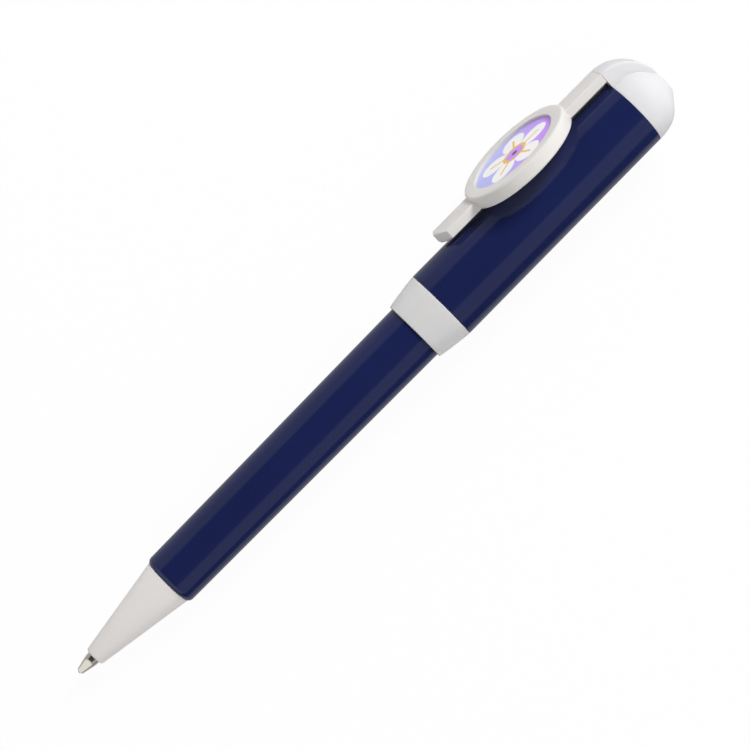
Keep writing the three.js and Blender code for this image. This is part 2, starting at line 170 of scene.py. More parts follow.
class StageSettings(bpy.types.PropertyGroup):
    """Camera and light."""

    camera_distance: length("Camera distance", "From the camera to the pen", 0.47)
    view_from_clip: FloatProperty(
        name="View from clip",
        description="Angle round the pen from the clip's direction to the camera's",
        default=math.radians(72.2),
        subtype="ANGLE",
    )
    picture_turn: FloatProperty(
        name="Picture turn",
        description="Slope of the pen in the picture",
        default=math.radians(45.41),
        subtype="ANGLE",
    )
    picture_width: length("Picture width", "Width that the picture shows at the pen's axis", 0.1259)
    aim_along: length("Aim", "Place along the pen that the camera looks at", 0.0705)
    aim_aside: length("Aim aside", "From the axis to the camera's aim, away from the clip", 0.00034)
    key_power: FloatProperty(
        name="Key light", description="Light beyond the cap and above", default=10.3, min=0, unit="POWER"
    )
    side_power: FloatProperty(
        name="Side light", description="Low light on the clip's side", default=1.2, min=0, unit="POWER"
    )
    front_power: FloatProperty(
        name="Front light",
        description="Soft light on the side away from the clip",
        default=4.5,
        min=0,
        unit="POWER",
    )


# Turning, joining and placing

def bend(start, handle, finish, count=9):
    """Corners between two points, on a curve that is drawn towards a handle."""
    start, handle, finish = Vector(start), Vector(handle), Vector(finish)
    first = start + (handle - start) * 2 / 3
    second = finish + (handle - finish) * 2 / 3
    curve = interpolate_bezier(start, first, second, finish, count)
    return [(point.x, point.y, 0) for point in curve[1:-1]]


def turned(outline, steps):
    """A bmesh spun round the pen's axis from corners of (place, radius, rounding)."""
    bm = bmesh.new()
    made = [bm.verts.new((place, 0, out * ROUND_FIT)) for place, out, _ in outline]
    for first, second in zip(made, made[1:]):
        bm.edges.new((first, second))
    if outline[0][1] > 0:
        bm.edges.new((made[-1], made[0]))
    for corner, (_, _, rounding) in zip(made, outline):
        if rounding:
            bmesh.ops.bevel(
                bm,
                geom=[corner],
                offset=rounding,
                offset_type="OFFSET",
                affect="VERTICES",
                segments=min(24, 4 + int(rounding * 8)),
                profile=0.5,
                material=-1,
            )
    bmesh.ops.spin(
        bm,
        geom=bm.verts[:] + bm.edges[:],
        cent=(0, 0, 0),
        axis=(1, 0, 0),
        angle=2 * math.pi,
        steps=steps,
        use_merge=True,
    )
    bmesh.ops.remove_doubles(bm, verts=bm.verts, dist=1e-4)
    bmesh.ops.recalc_face_normals(bm, faces=bm.faces)
    return bm


def faced(bm, place):
    """Turns a bmesh made round the pen's axis so that its axis points out through the clip."""
    bmesh.ops.rotate(bm, verts=bm.verts, cent=(0, 0, 0), matrix=Matrix.Rotation(-math.pi / 2, 3, "Y"))
    bmesh.ops.translate(bm, verts=bm.verts, vec=(place, 0, 0))
    return bm


def slab(outline, depth):
    """A bmesh made from a closed outline of points, extruded by a depth vector."""
    bm = bmesh.new()
    base = bm.faces.new([bm.verts.new(point) for point in outline])
    raised = bmesh.ops.extrude_face_region(bm, geom=[base])["geom"]
    moved = [part for part in raised if isinstance(part, bmesh.types.BMVert)]
    bmesh.ops.translate(bm, verts=moved, vec=depth)
    bmesh.ops.recalc_face_normals(bm, faces=bm.faces)
    return bm


def block(low, high):
    """A bmesh box between two opposite corners."""
    bm = bmesh.new()
    bmesh.ops.create_cube(bm, size=1)
    low, high = Vector(low), Vector(high)
    bmesh.ops.scale(bm, verts=bm.verts, vec=high - low)
    bmesh.ops.translate(bm, verts=bm.verts, vec=(low + high) / 2)
    return bm


def rounded(bm, edges, rounding):
    bmesh.ops.bevel(
        bm,
        geom=edges,
        offset=rounding,
        offset_type="OFFSET",
        affect="EDGES",
        segments=4,
        profile=0.5,
        material=-1,
    )
    return bm


def scratch(bm):
    """An object that holds a bmesh while a modifier works on it."""
    mesh = bpy.data.meshes.new("scratch")
    bm.to_mesh(mesh)
    bm.free()
    holder = bpy.data.objects.new("scratch", mesh)
    bpy.context.scene.collection.objects.link(holder)
    return holder


def combined(base, operation, *others):
    """One bmesh made of several by boolean modifiers."""
    holder = scratch(base)
    tools = [scratch(other) for other in others]
    for tool in tools:
        modifier = holder.modifiers.new("combine", "BOOLEAN")
        modifier.operation = operation
        modifier.solver = "EXACT"
        modifier.object = tool
    bm = bmesh.new()
    bm.from_object(holder, bpy.context.evaluated_depsgraph_get())
    for used in (holder, *tools):
        bpy.data.meshes.remove(used.data)
    return bm


def placed(bm, name, material, slot, *nodes, body=None, smooth_under=40):
    """Makes a piece of a bmesh, at its place on the pen, in the place of some CAD nodes."""
    bmesh.ops.transform(bm, matrix=PEN, verts=bm.verts)
    mesh = bpy.data.meshes.new(name)
    bm.to_mesh(mesh)
    bm.free()
    mesh.shade_smooth()
    mesh.set_sharp_from_angle(angle=math.radians(smooth_under))
    mesh.materials.append(material)
    piece = bpy.data.objects.new(name, mesh)
    bpy.context.scene.collection.objects.link(piece)
    if body:
        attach(piece, body)
    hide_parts(*nodes)
    return piece


# Shader building

def add(tree, kind, **settings):
    node = tree.nodes.new(kind)
    for name, value in settings.items():
        setattr(node, name, value)
    return node


def give(tree, socket, value):
    """Links a socket, or sets it to a number, a vector or a colour of three parts."""
    if isinstance(value, bpy.types.NodeSocket):
        tree.links.new(value, socket)
    elif socket.type == "RGBA" and len(value) == 3:
        socket.default_value = (*value, 1)
    else:
        socket.default_value = value


def feed(tree, node, **inputs):
    """Gives a node its inputs by name, where an underscore stands for a space."""
    for name, value in inputs.items():
        give(tree, node.inputs[name.replace("_", " ")], value)
    return node


def maths(tree, operation, *values, clamp=False):
    node = add(tree, "ShaderNodeMath", operation=operation, use_clamp=clamp)
    for socket, value in zip(node.inputs, values):
        give(tree, socket, value)
    return node.outputs[0]


def blended(tree, share, first, second):
    node = add(tree, "ShaderNodeMix", data_type="RGBA")
    for place, value in ((0, share), (6, first), (7, second)):
        give(tree, node.inputs[place], value)
    return node.outputs[2]


def pen_coordinates(tree):
    """Object coordinates taken to the pen's own frame, in millimetres."""
    place, turn, _ = PEN.decompose()
    mapping = add(tree, "ShaderNodeMapping", vector_type="TEXTURE")
    feed(tree, mapping, Location=place, Rotation=turn.to_euler(), Scale=(0.001, 0.001, 0.001))
    tree.links.new(add(tree, "ShaderNodeTexCoord").outputs["Object"], mapping.inputs["Vector"])
    return mapping.outputs["Vector"]


def group(name, inputs, outputs):
    """A new shader group with input sockets of (name, kind, default)."""
    tree = bpy.data.node_groups.new(name, "ShaderNodeTree")
    for socket_name, kind, default in inputs:
        socket = tree.interface.new_socket(socket_name, in_out="INPUT", socket_type=kind)
        if default is not None:
            socket.default_value = default
    for socket_name, kind in outputs:
        tree.interface.new_socket(socket_name, in_out="OUTPUT", socket_type=kind)
    return tree, add(tree, "NodeGroupInput"), add(tree, "NodeGroupOutput")


def moulded_group():
    """Grain, slow waviness, colour drift and handling marks of moulded plastic."""
    tree, given, made = group(
        "moulded_plastic",
        [
            ("Vector", "NodeSocketVector", None),
            ("Color", "NodeSocketColor", (0.8, 0.8, 0.8, 1)),
            ("Drift", "NodeSocketFloat", 0.04),
            ("Roughness", "NodeSocketFloat", 0.3),
            ("Unevenness", "NodeSocketFloat", 0.1),
            ("Grain", "NodeSocketFloat", 0.5),
        ],
        [("Color", "NodeSocketColor"), ("Roughness", "NodeSocketFloat"), ("Height", "NodeSocketFloat")],
    )
    place = given.outputs["Vector"]
    slow = feed(tree, add(tree, "ShaderNodeTexNoise"), Vector=place, Scale=0.12, Detail=2)
    cloudy = feed(tree, add(tree, "ShaderNodeTexNoise"), Vector=place, Scale=0.9, Detail=4, Roughness=0.6)
    fine = feed(tree, add(tree, "ShaderNodeTexNoise"), Vector=place, Scale=7.0, Detail=3)
    shift = maths(tree, "SUBTRACT", slow.outputs["Fac"], 0.5)
    value = maths(tree, "MULTIPLY_ADD", shift, given.outputs["Drift"], 1.0)
    shade = feed(tree, add(tree, "ShaderNodeHueSaturation"), Color=given.outputs["Color"], Value=value)
    uneven = maths(tree, "SUBTRACT", cloudy.outputs["Fac"], 0.5)
    spread = maths(tree, "MULTIPLY", uneven, given.outputs["Unevenness"])
    feed(
        tree,
        made,
        Color=shade.outputs["Color"],
        Roughness=maths(tree, "ADD", given.outputs["Roughness"], spread, clamp=True),
        Height=maths(tree, "MULTIPLY", fine.outputs["Fac"], given.outputs["Grain"]),
    )


def surfaced(name, base, roughness, metallic=0.0, drift=0.04, unevenness=0.08, grain=0.5, relief=0.002):
    """A material with the shared moulded surface. Its relief is in millimetres."""
    material = bpy.data.materials.new(name)
    material.use_nodes = True
    tree = material.node_tree
    shader = tree.nodes["Principled BSDF"]
    surface = add(tree, "ShaderNodeGroup", node_tree=bpy.data.node_groups["moulded_plastic"])
    feed(
        tree,
        surface,
        Vector=pen_coordinates(tree),
        Color=base,
        Drift=drift,
        Roughness=roughness,
        Unevenness=unevenness,
        Grain=grain,
    )
    bump = feed(
        tree,
        add(tree, "ShaderNodeBump"),
        Strength=0.5,
        Distance=relief * 0.001,
        Height=surface.outputs["Height"],
    )
    feed(
        tree,
        shader,
        Base_Color=surface.outputs["Color"],
        Roughness=surface.outputs["Roughness"],
        Metallic=metallic,
        Normal=bump.outputs["Normal"],
    )
    return material, shader, surface, bump


def navy_plastic(colours):
    material, shader, _, _ = surfaced("navy_gloss", colours.navy, 0.13, drift=0.15, unevenness=0.05)
    feed(material.node_tree, shader, IOR=1.5)
    return material


def white_plastic(name, base, roughness=0.34):
    material, shader, _, _ = surfaced(name, base, roughness)
    feed(
        material.node_tree,
        shader,
        Subsurface_Weight=0.06,
        Subsurface_Radius=(1.0, 0.9, 0.8),
        Subsurface_Scale=0.0006,
    )
    return material


def turned_metal(name, base, roughness, metallic=1.0):
    """Bright metal with the fine rings that a lathe leaves."""
    material, _, surface, bump = surfaced(
        name, base, roughness, metallic=metallic, drift=0.08, unevenness=0.08, relief=0.002
    )
    tree = material.node_tree
    split = add(tree, "ShaderNodeSeparateXYZ")
    tree.links.new(surface.inputs["Vector"].links[0].from_socket, split.inputs["Vector"])
    rings = add(tree, "ShaderNodeTexNoise", noise_dimensions="1D")
    feed(tree, rings, W=split.outputs["X"], Scale=14.0, Detail=3)
    feed(tree, bump, Height=rings.outputs["Fac"])
    return material


def milky_plastic(name, base, roughness):
    """Unpigmented plastic that light goes some way into."""
    material, shader, _, _ = surfaced(name, base, roughness)
    feed(
        material.node_tree,
        shader,
        Subsurface_Weight=0.25,
        Subsurface_Radius=(1.0, 1.0, 1.0),
        Subsurface_Scale=0.001,
    )
    return material


# The badge's print, in a frame centred on the badge where its radius is 1

PETALS = 5
PETAL_ROOT = 0.24
PETAL_LENGTH = 0.62
VEIN_HALF_WIDTH = 0.07
VEIN_END = 0.66
EYE = 0.26
EYE_LINE = 0.04
DOT = 0.07


def under(tree, value, edge, softness=0.012):
    """1 where a value is under an edge, which may be a socket, with a soft change."""
    ramp = add(tree, "ShaderNodeMapRange", interpolation_type="SMOOTHSTEP")
    feed(
        tree,
        ramp,
        Value=value,
        From_Min=maths(tree, "SUBTRACT", edge, softness),
        From_Max=maths(tree, "ADD", edge, softness),
        To_Min=1.0,
        To_Max=0.0,
    )
    return ramp.outputs["Result"]


def circle_line(tree, out, size, half_width):
    """1 on a circle of the given size."""
    return under(tree, maths(tree, "ABSOLUTE", maths(tree, "SUBTRACT", out, size)), half_width)


def printed_badge(colours, centre, badge_radius):
    """A rosette of white petals with amber lines, on a field that runs from periwinkle to violet."""
    material, shader, surface, _ = surfaced("badge_print", colours.violet, 0.3, drift=0.0)
    tree = material.node_tree
    place = add(tree, "ShaderNodeMapping", vector_type="TEXTURE")
    feed(tree, place, Location=(centre, 0, 0), Scale=(badge_radius, badge_radius, badge_radius))
    tree.links.new(surface.inputs["Vector"].links[0].from_socket, place.inputs["Vector"])
    split = add(tree, "ShaderNodeSeparateXYZ")
    tree.links.new(place.outputs["Vector"], split.inputs["Vector"])
    x, y = split.outputs["X"], split.outputs["Y"]
    out = maths(tree, "SQRT", maths(tree, "MULTIPLY_ADD", x, x, maths(tree, "MULTIPLY", y, y)))
    turn = maths(tree, "ARCTAN2", y, x)

    slope = maths(tree, "MULTIPLY_ADD", y, -0.8, x)
    field = blended(
        tree, maths(tree, "MULTIPLY_ADD", slope, 0.55, 0.45, clamp=True), colours.periwinkle, colours.violet
    )
    half_turn = maths(tree, "MULTIPLY", turn, PETALS / 2)
    lobes = maths(tree, "ABSOLUTE", maths(tree, "COSINE", half_turn))
    petal_edge = maths(tree, "MULTIPLY_ADD", maths(tree, "POWER", lobes, 0.5), PETAL_LENGTH, PETAL_ROOT)
    aside = maths(tree, "MULTIPLY", maths(tree, "ABSOLUTE", maths(tree, "SINE", half_turn)), out)
    vein = maths(tree, "MULTIPLY", under(tree, aside, VEIN_HALF_WIDTH), under(tree, out, VEIN_END))
    layers = (
        (under(tree, out, petal_edge), colours.petal),
        (vein, colours.amber),
        (under(tree, out, EYE), colours.violet),
        (circle_line(tree, out, EYE, EYE_LINE), colours.amber),
        (under(tree, out, DOT), colours.dot),
    )
    for mask, ink in layers:
        field = blended(tree, mask, field, ink)
    feed(tree, surface, Color=field)
    feed(tree, shader, Coat_Weight=0.5, Coat_Roughness=0.06)
    return material


# Pieces of the lower half

def make_nose(sizes, colours):
    front, spigot_end = reach("nose_cone")
    back = reach("lower_barrel")[0] - SEAM
    cone_front = max(corner.x for corner in corners("nose_cone") if corner.x < front + 1)
    cone_start = radius_at("nose_cone", cone_front)
    bore = radius_at("nose_cone", front, min)
    base = radius_at("nose_cone", back)
    spigot = radius_at("nose_cone", spigot_end)
    chamber = radius_at("nose_cone", spigot_end, min)
    shoulder = min(corner.x for corner in corners("nose_cone") if abs(radius(corner) - chamber) < 0.01)
    mouth = cone_start - (base - cone_start) * (cone_front - front) / (back - cone_front)
    outline = [
        (front, bore, 0.05),
        (front, mouth, mm(sizes.nose_edge)),
        (back, base, 0.08),
        (back, spigot, 0),
        (spigot_end, spigot, 0.3),
        (spigot_end, chamber, 0),
        (shoulder, chamber, 0),
        (shoulder, bore, 0),
    ]
    material = white_plastic("nose_white", colours.nose)
    placed(turned(outline, sizes.turn_steps), "nose", material, "white_trim", "nose_cone", body="lower")


def make_lower_barrel(sizes, navy):
    front, back = reach("lower_barrel")
    near_front = [corner for corner in corners("lower_barrel") if corner.x < front + 3]
    full = max(radius(corner) for corner in near_front)
    full_from = min(corner.x for corner in near_front if radius(corner) > full - 0.001)
    lip = radius_at("lower_barrel", front)
    bore = radius_at("lower_barrel", front, min)
    wide_bore = radius_at("lower_barrel", back, min)
    step = min(corner.x for corner in corners("lower_barrel") if abs(radius(corner) - wide_bore) < 0.01)
    edge = mm(sizes.barrel_edge)
    outline = [
        (front, bore, 0),
        (front, lip, edge),
        *bend((front, lip), (front + (full_from - front) / 3, full), (full_from, full)),
        (full_from, full, 0),
        (back, radius_at("lower_barrel", back), edge),
        (back, wide_bore, 0),
        (step, wide_bore, 0),
        (step, bore, 0),
    ]
    placed(turned(outline, sizes.turn_steps), "barrel_lower", navy, "navy", "lower_barrel", body="lower")


def make_spring():
    """Wire wound by a spin that moves along the axis. The real spring stretches as the point goes in; this
    piece keeps the one length of the imported model.
    """
    low, high = reach("return_spring")
    outer = max(radius(corner) for corner in corners("return_spring"))
    inner = min(radius(corner) for corner in corners("return_spring"))
    wire = (outer - inner) / 2
    turns, steps = 9, 24
    bm = bmesh.new()
    bmesh.ops.create_circle(bm, cap_ends=True, radius=wire, segments=10)
    bmesh.ops.rotate(bm, verts=bm.verts, cent=(0, 0, 0), matrix=Matrix.Rotation(math.pi / 2, 3, "X"))
    bmesh.ops.translate(bm, verts=bm.verts, vec=(low + wire, 0, (outer + inner) / 2))
    bmesh.ops.spin(
        bm,
        geom=bm.faces[:],
        cent=(0, 0, 0),
        axis=(1, 0, 0),
        dvec=((high - low - 2 * wire) / (turns * steps), 0, 0),
        angle=2 * math.pi * turns,
        steps=turns * steps,
        use_merge=False,
    )
    bmesh.ops.recalc_face_normals(bm, faces=bm.faces)
    steel = turned_metal("spring_steel", (0.60, 0.60, 0.62), 0.25)
    spring = placed(bm, "spring", steel, "steel", "return_spring", smooth_under=60)
    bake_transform(spring)


# Pieces of the upper half

def make_ring(sizes, colours):
    front, spigot_end = reach("centre_ring")
    barrel = reach("upper_barrel")[0]
    back = barrel - SEAM
    low = max(radius(corner) for corner in corners("centre_ring") if corner.x < front + 0.2)
    high = radius_at("upper_barrel", barrel)
    bore = radius_at("centre_ring", front, min)
    spigot = radius_at("centre_ring", spigot_end)
    inner = radius_at("centre_ring", spigot_end, min)
    shoulder = min(corner.x for corner in corners("centre_ring") if abs(radius(corner) - inner) < 0.01)
    edge = mm(sizes.ring_edge)
    handle = ((front + back) / 2, (low + high) / 2 + mm(sizes.ring_swell))
    outline = [
        (front, bore, 0.05),
        (front, low, edge),
        *bend((front, low), handle, (back, high)),
        (back, high, edge),
        (back, spigot, 0),
        (spigot_end, spigot, 0.2),
        (spigot_end, inner, 0),
        (shoulder, inner, 0),
        (shoulder, bore, 0),
    ]
    material = white_plastic("ring_white", colours.ring)
    placed(turned(outline, sizes.turn_steps), "ring", material, "white_trim", "centre_ring", body="upper")


def make_upper_barrel(sizes, navy):
    front, back = reach("upper_barrel")
    bore = radius_at("upper_barrel", front, min)
    edge = mm(sizes.barrel_edge)
    outline = [
        (front, bore, 0),
        (front, radius_at("upper_barrel", front), edge),
        (back, radius_at("upper_barrel", back), edge),
        (back, bore, 0),
    ]
    placed(turned(outline, sizes.turn_steps), "barrel_upper", navy, "navy", "upper_barrel", body="upper")


def cap_dome(sizes, front, end, base, flat):
    """The dome: a round flank, a straight slope to the flat end, and the spigot."""
    flank = [
        (corner.x, radius(corner))
        for corner in corners("end_dome")
        if front < corner.x < end - 0.05 and corner.z < 0 and radius(corner) > flat
    ]
    flank_end = max(flank)
    turn = end - (end - flank_end[0]) * (base - flat) / (flank_end[1] - flat)
    spigot_end = reach("end_dome")[0]
    spigot = radius_at("end_dome", spigot_end)
    bore = radius_at("end_dome", spigot_end, min)
    outline = [
        (front - 1, 0, 0),
        (front - 1, bore, 0),
        (spigot_end, bore, 0),
        (spigot_end, spigot, 0.2),
        (front, spigot, 0),
        (front, base, 0.04),
        *bend((front, base), (turn, base), flank_end, 17),
        (*flank_end, 0),
        (end, flat, mm(sizes.cap_corner)),
        (end, 0, 0),
    ]
    return turned(outline, sizes.turn_steps)


def cap_rib(sizes, front, end, half, tip_half, top, tip):
    """The rib that carries the clip's line over the dome, narrower towards the end."""
    over = end - front
    curve = interpolate_bezier(
        Vector((front, -1, top)),
        Vector((front + RIB_BULGE[0] * over, -1, top - RIB_BULGE[1])),
        Vector((front + RIB_BROW[0] * over, -1, top - RIB_BROW[1])),
        Vector((end, -1, tip)),
        25,
    )
    outline = [Vector((front, -1, 2)), *curve, Vector((end, -1, 0)), Vector((end - 2.5, -1, 0))]
    bm = slab(outline, (0, 2, 0))
    for vertex in bm.verts:
        share = max(0, (vertex.co.x - front) / over)
        vertex.co.y *= half - (half - tip_half) * share**2
    long_edges = []
    for edge in bm.edges:
        first, second = (vertex.co for vertex in edge.verts)
        if first.y * second.y > 0 and min(first.z, second.z) > tip - 0.01 and first.x != second.x:
            long_edges.append(edge)
    return rounded(bm, long_edges, mm(sizes.rib_edge))


def tenon_pocket(front, base, half, top):
    """The space in the rib that the clip's tenon goes into."""
    walls = [
        corner
        for corner in corners("end_dome")
        if abs(corner.x - front) < 3 and abs(corner.y) < half - 0.5 and base + 0.3 < corner.z < top - 0.3
    ]
    half = max(corner.y for corner in walls)
    low = (front - 0.6, -half, min(corner.z for corner in walls))
    high = (max(corner.x for corner in walls), half, max(corner.z for corner in walls))
    return block(low, high)


def make_cap(sizes, colours):
    barrel_end = reach("upper_barrel")[1]
    front = barrel_end + SEAM
    end = reach("end_dome")[1]
    base = radius_at("upper_barrel", barrel_end)
    shape = corners("end_dome")
    top = max(corner.z for corner in shape)
    half = max(abs(corner.y) for corner in shape if corner.z > top - 0.05)
    end_face = [corner for corner in shape if abs(corner.x - end) < 0.02]
    flat = -min(corner.z for corner in end_face)
    tip = max(corner.z for corner in end_face if abs(corner.y) > 1)
    tip_half = max(abs(corner.y) for corner in end_face if corner.z > tip - 0.05)
    bm = combined(
        cap_dome(sizes, front, end, base, flat),
        "UNION",
        cap_rib(sizes, front, end - 0.02, half, tip_half, top, tip),
    )
    bm = combined(bm, "DIFFERENCE", tenon_pocket(front, base, half, top))
    material = white_plastic("cap_white", colours.cap, 0.3)
    placed(bm, "cap", material, "cap_white", "end_dome", body="upper", smooth_under=32)


# The clip and its badge

def badge_sizes():
    """Centre along the pen, radius, and lowest and highest place of the badge."""
    shape = corners("badge_disc")
    first, last = reach("badge_disc")
    heights = [corner.z for corner in shape]
    return (first + last) / 2, (last - first) / 2, min(heights), max(heights)


def clip_arm(plan, low, high, edge):
    """The flat arm with rounded outer edges and a slanted toe."""
    bm = slab([(x, y, low) for x, y in plan], (0, 0, high - low))
    back = max(x for x, _ in plan)
    outer = []
    for line in bm.edges:
        first, second = (vertex.co for vertex in line.verts)
        on_top = min(first.z, second.z) > high - 0.01
        upright = abs(first.z - second.z) > 1
        if (on_top or upright) and min(first.x, second.x) < back - 0.01:
            outer.append(line)
    return rounded(bm, outer, edge)


def toe_pad(toe_part, plan, low, high):
    """The low curve under the toe, kept inside the arm's plan."""
    pad = [corner for corner in toe_part if corner.z < low - 0.01]
    half = max(corner.y for corner in pad)
    lowest = min(corner.z for corner in pad)
    middle = max(corner.x for corner in pad if corner.z < lowest + 0.001)
    toe = min(x for x, _ in plan)
    end = 2 * middle - toe
    third = (end - toe) / 3
    start = (toe, (low + lowest) / 2)
    points = [
        (*start, 0),
        *bend(start, (toe + third, lowest), (middle, lowest), 7),
        (middle, lowest, 0),
        *bend((middle, lowest), (end - third, lowest), (end, low), 7),
        (end, low, 0),
        (end, high, 0),
        (toe, high, 0),
    ]
    side = slab([(x, -half, z) for x, z, _ in points], (0, 2 * half, 0))
    inside = slab([(x + 0.02, y, lowest - 1) for x, y in plan], (0, 0, high - lowest + 2))
    return combined(side, "INTERSECT", inside)


def clip_disc(sizes, centre, disc_radius, low, high, recess, floor):
    edge = mm(sizes.disc_edge)
    outline = [
        (low, 0, 0),
        (low, disc_radius, edge),
        (high, disc_radius, edge),
        (high, recess, 0.05),
        (floor, recess, 0),
        (floor, 0, 0),
    ]
    return faced(turned(outline, sizes.turn_steps), centre)


def make_clip(sizes, colours):
    shape = corners("clip_arm")
    centre, badge_radius, badge_low, _ = badge_sizes()
    disc_radius = max(corner.y for corner in shape)
    disc_high = max(corner.z for corner in shape)
    disc_low = min(corner.z for corner in shape if abs(corner.y) > disc_radius / 2)
    recess = badge_radius + SEAM
    floor = badge_low - SEAM

    toe_part = [corner for corner in shape if corner.x < centre - disc_radius - 0.3]
    half = max(corner.y for corner in toe_part)
    near_side = [corner for corner in toe_part if corner.y < 0.01 - half]
    low, high = min(corner.z for corner in near_side), max(corner.z for corner in near_side)
    toe = min(corner.x for corner in toe_part)
    back = reach("upper_barrel")[1]
    plan = [
        (min(corner.x for corner in near_side), -half),
        (back, -half),
        (back, half),
        (min(corner.x for corner in toe_part if corner.y > half - 0.01), half),
        (toe, max(corner.y for corner in toe_part if corner.x < toe + 0.01)),
    ]

    tenon_end = reach("clip_arm")[1]
    tenon = [corner for corner in shape if corner.x > tenon_end - 0.01]
    tenon_half = max(corner.y for corner in tenon)
    tenon_low, tenon_high = min(corner.z for corner in tenon), max(corner.z for corner in tenon)
    bm = combined(
        clip_arm(plan, low, high, mm(sizes.clip_edge)),
        "UNION",
        toe_pad(toe_part, plan, low, (low + high) / 2),
        block((back - 1, -tenon_half, tenon_low), (tenon_end, tenon_half, tenon_high)),
    )
    above = disc_high + 1
    hole_outline = [(floor, 0, 0), (floor, recess, 0), (above, recess, 0), (above, 0, 0)]
    hole = turned(hole_outline, SMALL_TURN_STEPS)
    bm = combined(bm, "DIFFERENCE", faced(hole, centre))
    disc = clip_disc(sizes, centre, disc_radius, disc_low, disc_high, recess - 0.01, floor - 0.01)
    bm = combined(bm, "UNION", disc)
    material = white_plastic("clip_white", colours.clip)
    placed(bm, "clip", material, "clip_white", "clip_arm", body="clip", smooth_under=32)


def make_badge(sizes, colours):
    centre, badge_radius, low, high = badge_sizes()
    crown = mm(sizes.badge_crown)
    outline = [
        (low, 0, 0),
        (low, badge_radius, 0),
        (high - crown, badge_radius, 0.06),
        (high, badge_radius / 2, 3),
        (high, 0, 0),
    ]
    bm = faced(turned(outline, sizes.turn_steps), centre)
    material = printed_badge(colours, centre, badge_radius)
    placed(bm, "badge", material, "badge_print", "badge_disc", body="clip", smooth_under=60)


# The refill and what is hidden in the barrels

def make_point(colours):
    front, shank_end = reach("refill_point")
    full_end = reach("point_adapter")[0] - SEAM
    full = radius_at("refill_point", full_end)
    cone_end = min(corner.x for corner in corners("refill_point") if abs(radius(corner) - full) < 0.01)
    lip = radius_at("refill_point", front)
    socket = radius_at("refill_point", front, min)
    shank = radius_at("refill_point", shank_end)
    bore = radius_at("refill_point", shank_end, min)
    outline = [
        (front, socket, 0),
        (front, lip, 0.02),
        (cone_end, full, 0.5),
        (full_end, full, 0.05),
        (full_end, shank, 0),
        (shank_end, shank, 0),
        (shank_end, bore, 0),
        (front + 0.5, bore, 0),
        (front + 0.5, socket, 0),
    ]
    metal = turned_metal("point_metal", colours.point, 0.08)
    bm = turned(outline, SMALL_TURN_STEPS)
    placed(bm, "point", metal, "point_metal", "refill_point", body="refill")


def make_ball():
    low, high = reach("writing_ball")
    bm = bmesh.new()
    bmesh.ops.create_uvsphere(bm, u_segments=32, v_segments=20, radius=(high - low) / 2)
    bmesh.ops.translate(bm, verts=bm.verts, vec=((low + high) / 2, 0, 0))
    steel = turned_metal("ball_steel", (0.80, 0.79, 0.76), 0.2, metallic=0.4)
    placed(bm, "ball", steel, "steel", "writing_ball", body="refill")


def finish_hidden_pieces():
    """Materials for the CAD nodes that stay as they are, all of them inside the pen."""
    ink, _, _, _ = surfaced("ink_paste", (0.010, 0.012, 0.070), 0.4)
    finishes = {
        milky_plastic("mechanism_plastic", (0.60, 0.57, 0.50), 0.45): (
            "cam_follower",
            "barrel_bush",
            "guide_tube",
            "cam_sleeve",
            "drive_drum",
        ),
        milky_plastic("tube_plastic", (0.78, 0.78, 0.72), 0.35): ("refill_tube", "tube_plug"),
        turned_metal("turned_brass", (0.72, 0.50, 0.22), 0.3): ("point_adapter", "spring_collar"),
        turned_metal("ring_steel", (0.58, 0.58, 0.60), 0.3): ("retaining_ring",),
        ink: ("ink_column",),
    }
    for material, names in finishes.items():
        for name in names:
            mesh = frame["nodes"][name].data
            mesh.materials.clear()
            mesh.materials.append(material)


# Stage

# Where the lamps stand and how wide they are, in metres
KEY_PLACE = (0.78, 0.25, 0.72)
KEY_WIDTH = 0.30
SIDE_PLACE = (0.0, 0.95, 0.35)
SIDE_WIDTH = 0.60
FRONT_PLACE = (0.2, -0.75, 0.55)
FRONT_WIDTH = 1.20

# Brightness of the room, and the directions between which one part gives way to the next
ROOM_LEVEL = 0.36
CEILING_LEVEL = 0.05
CEILING_EDGE = (0.66, 0.71)
CEILING_TILT = 0.085
WINDOW_LEVEL = 0.80
WINDOW_EDGE = (-0.46, -0.40)

# Colour of the floor, how much of it the camera sees as plain white, and the painted reflection that the
# gloss shows of it: a glow, bright round the pen and dark from a few centimetres out on the side away from
# the clip
FLOOR_GREY = 0.80
FLOOR_WHITENESS = 0.96
FLOOR_REFLECTION_EDGE = (-0.028, -0.020)
FLOOR_REFLECTION_LEVELS = (0.04, 0.42)


def eased(tree, value, edge, levels):
    """A smooth change of level while a value crosses an edge."""
    ramp = add(tree, "ShaderNodeMapRange", interpolation_type="SMOOTHSTEP")
    feed(
        tree,
        ramp,
        Value=value,
        From_Min=edge[0],
        From_Max=edge[1],
        To_Min=levels[0],
        To_Max=levels[1],
    )
    return ramp.outputs["Result"]


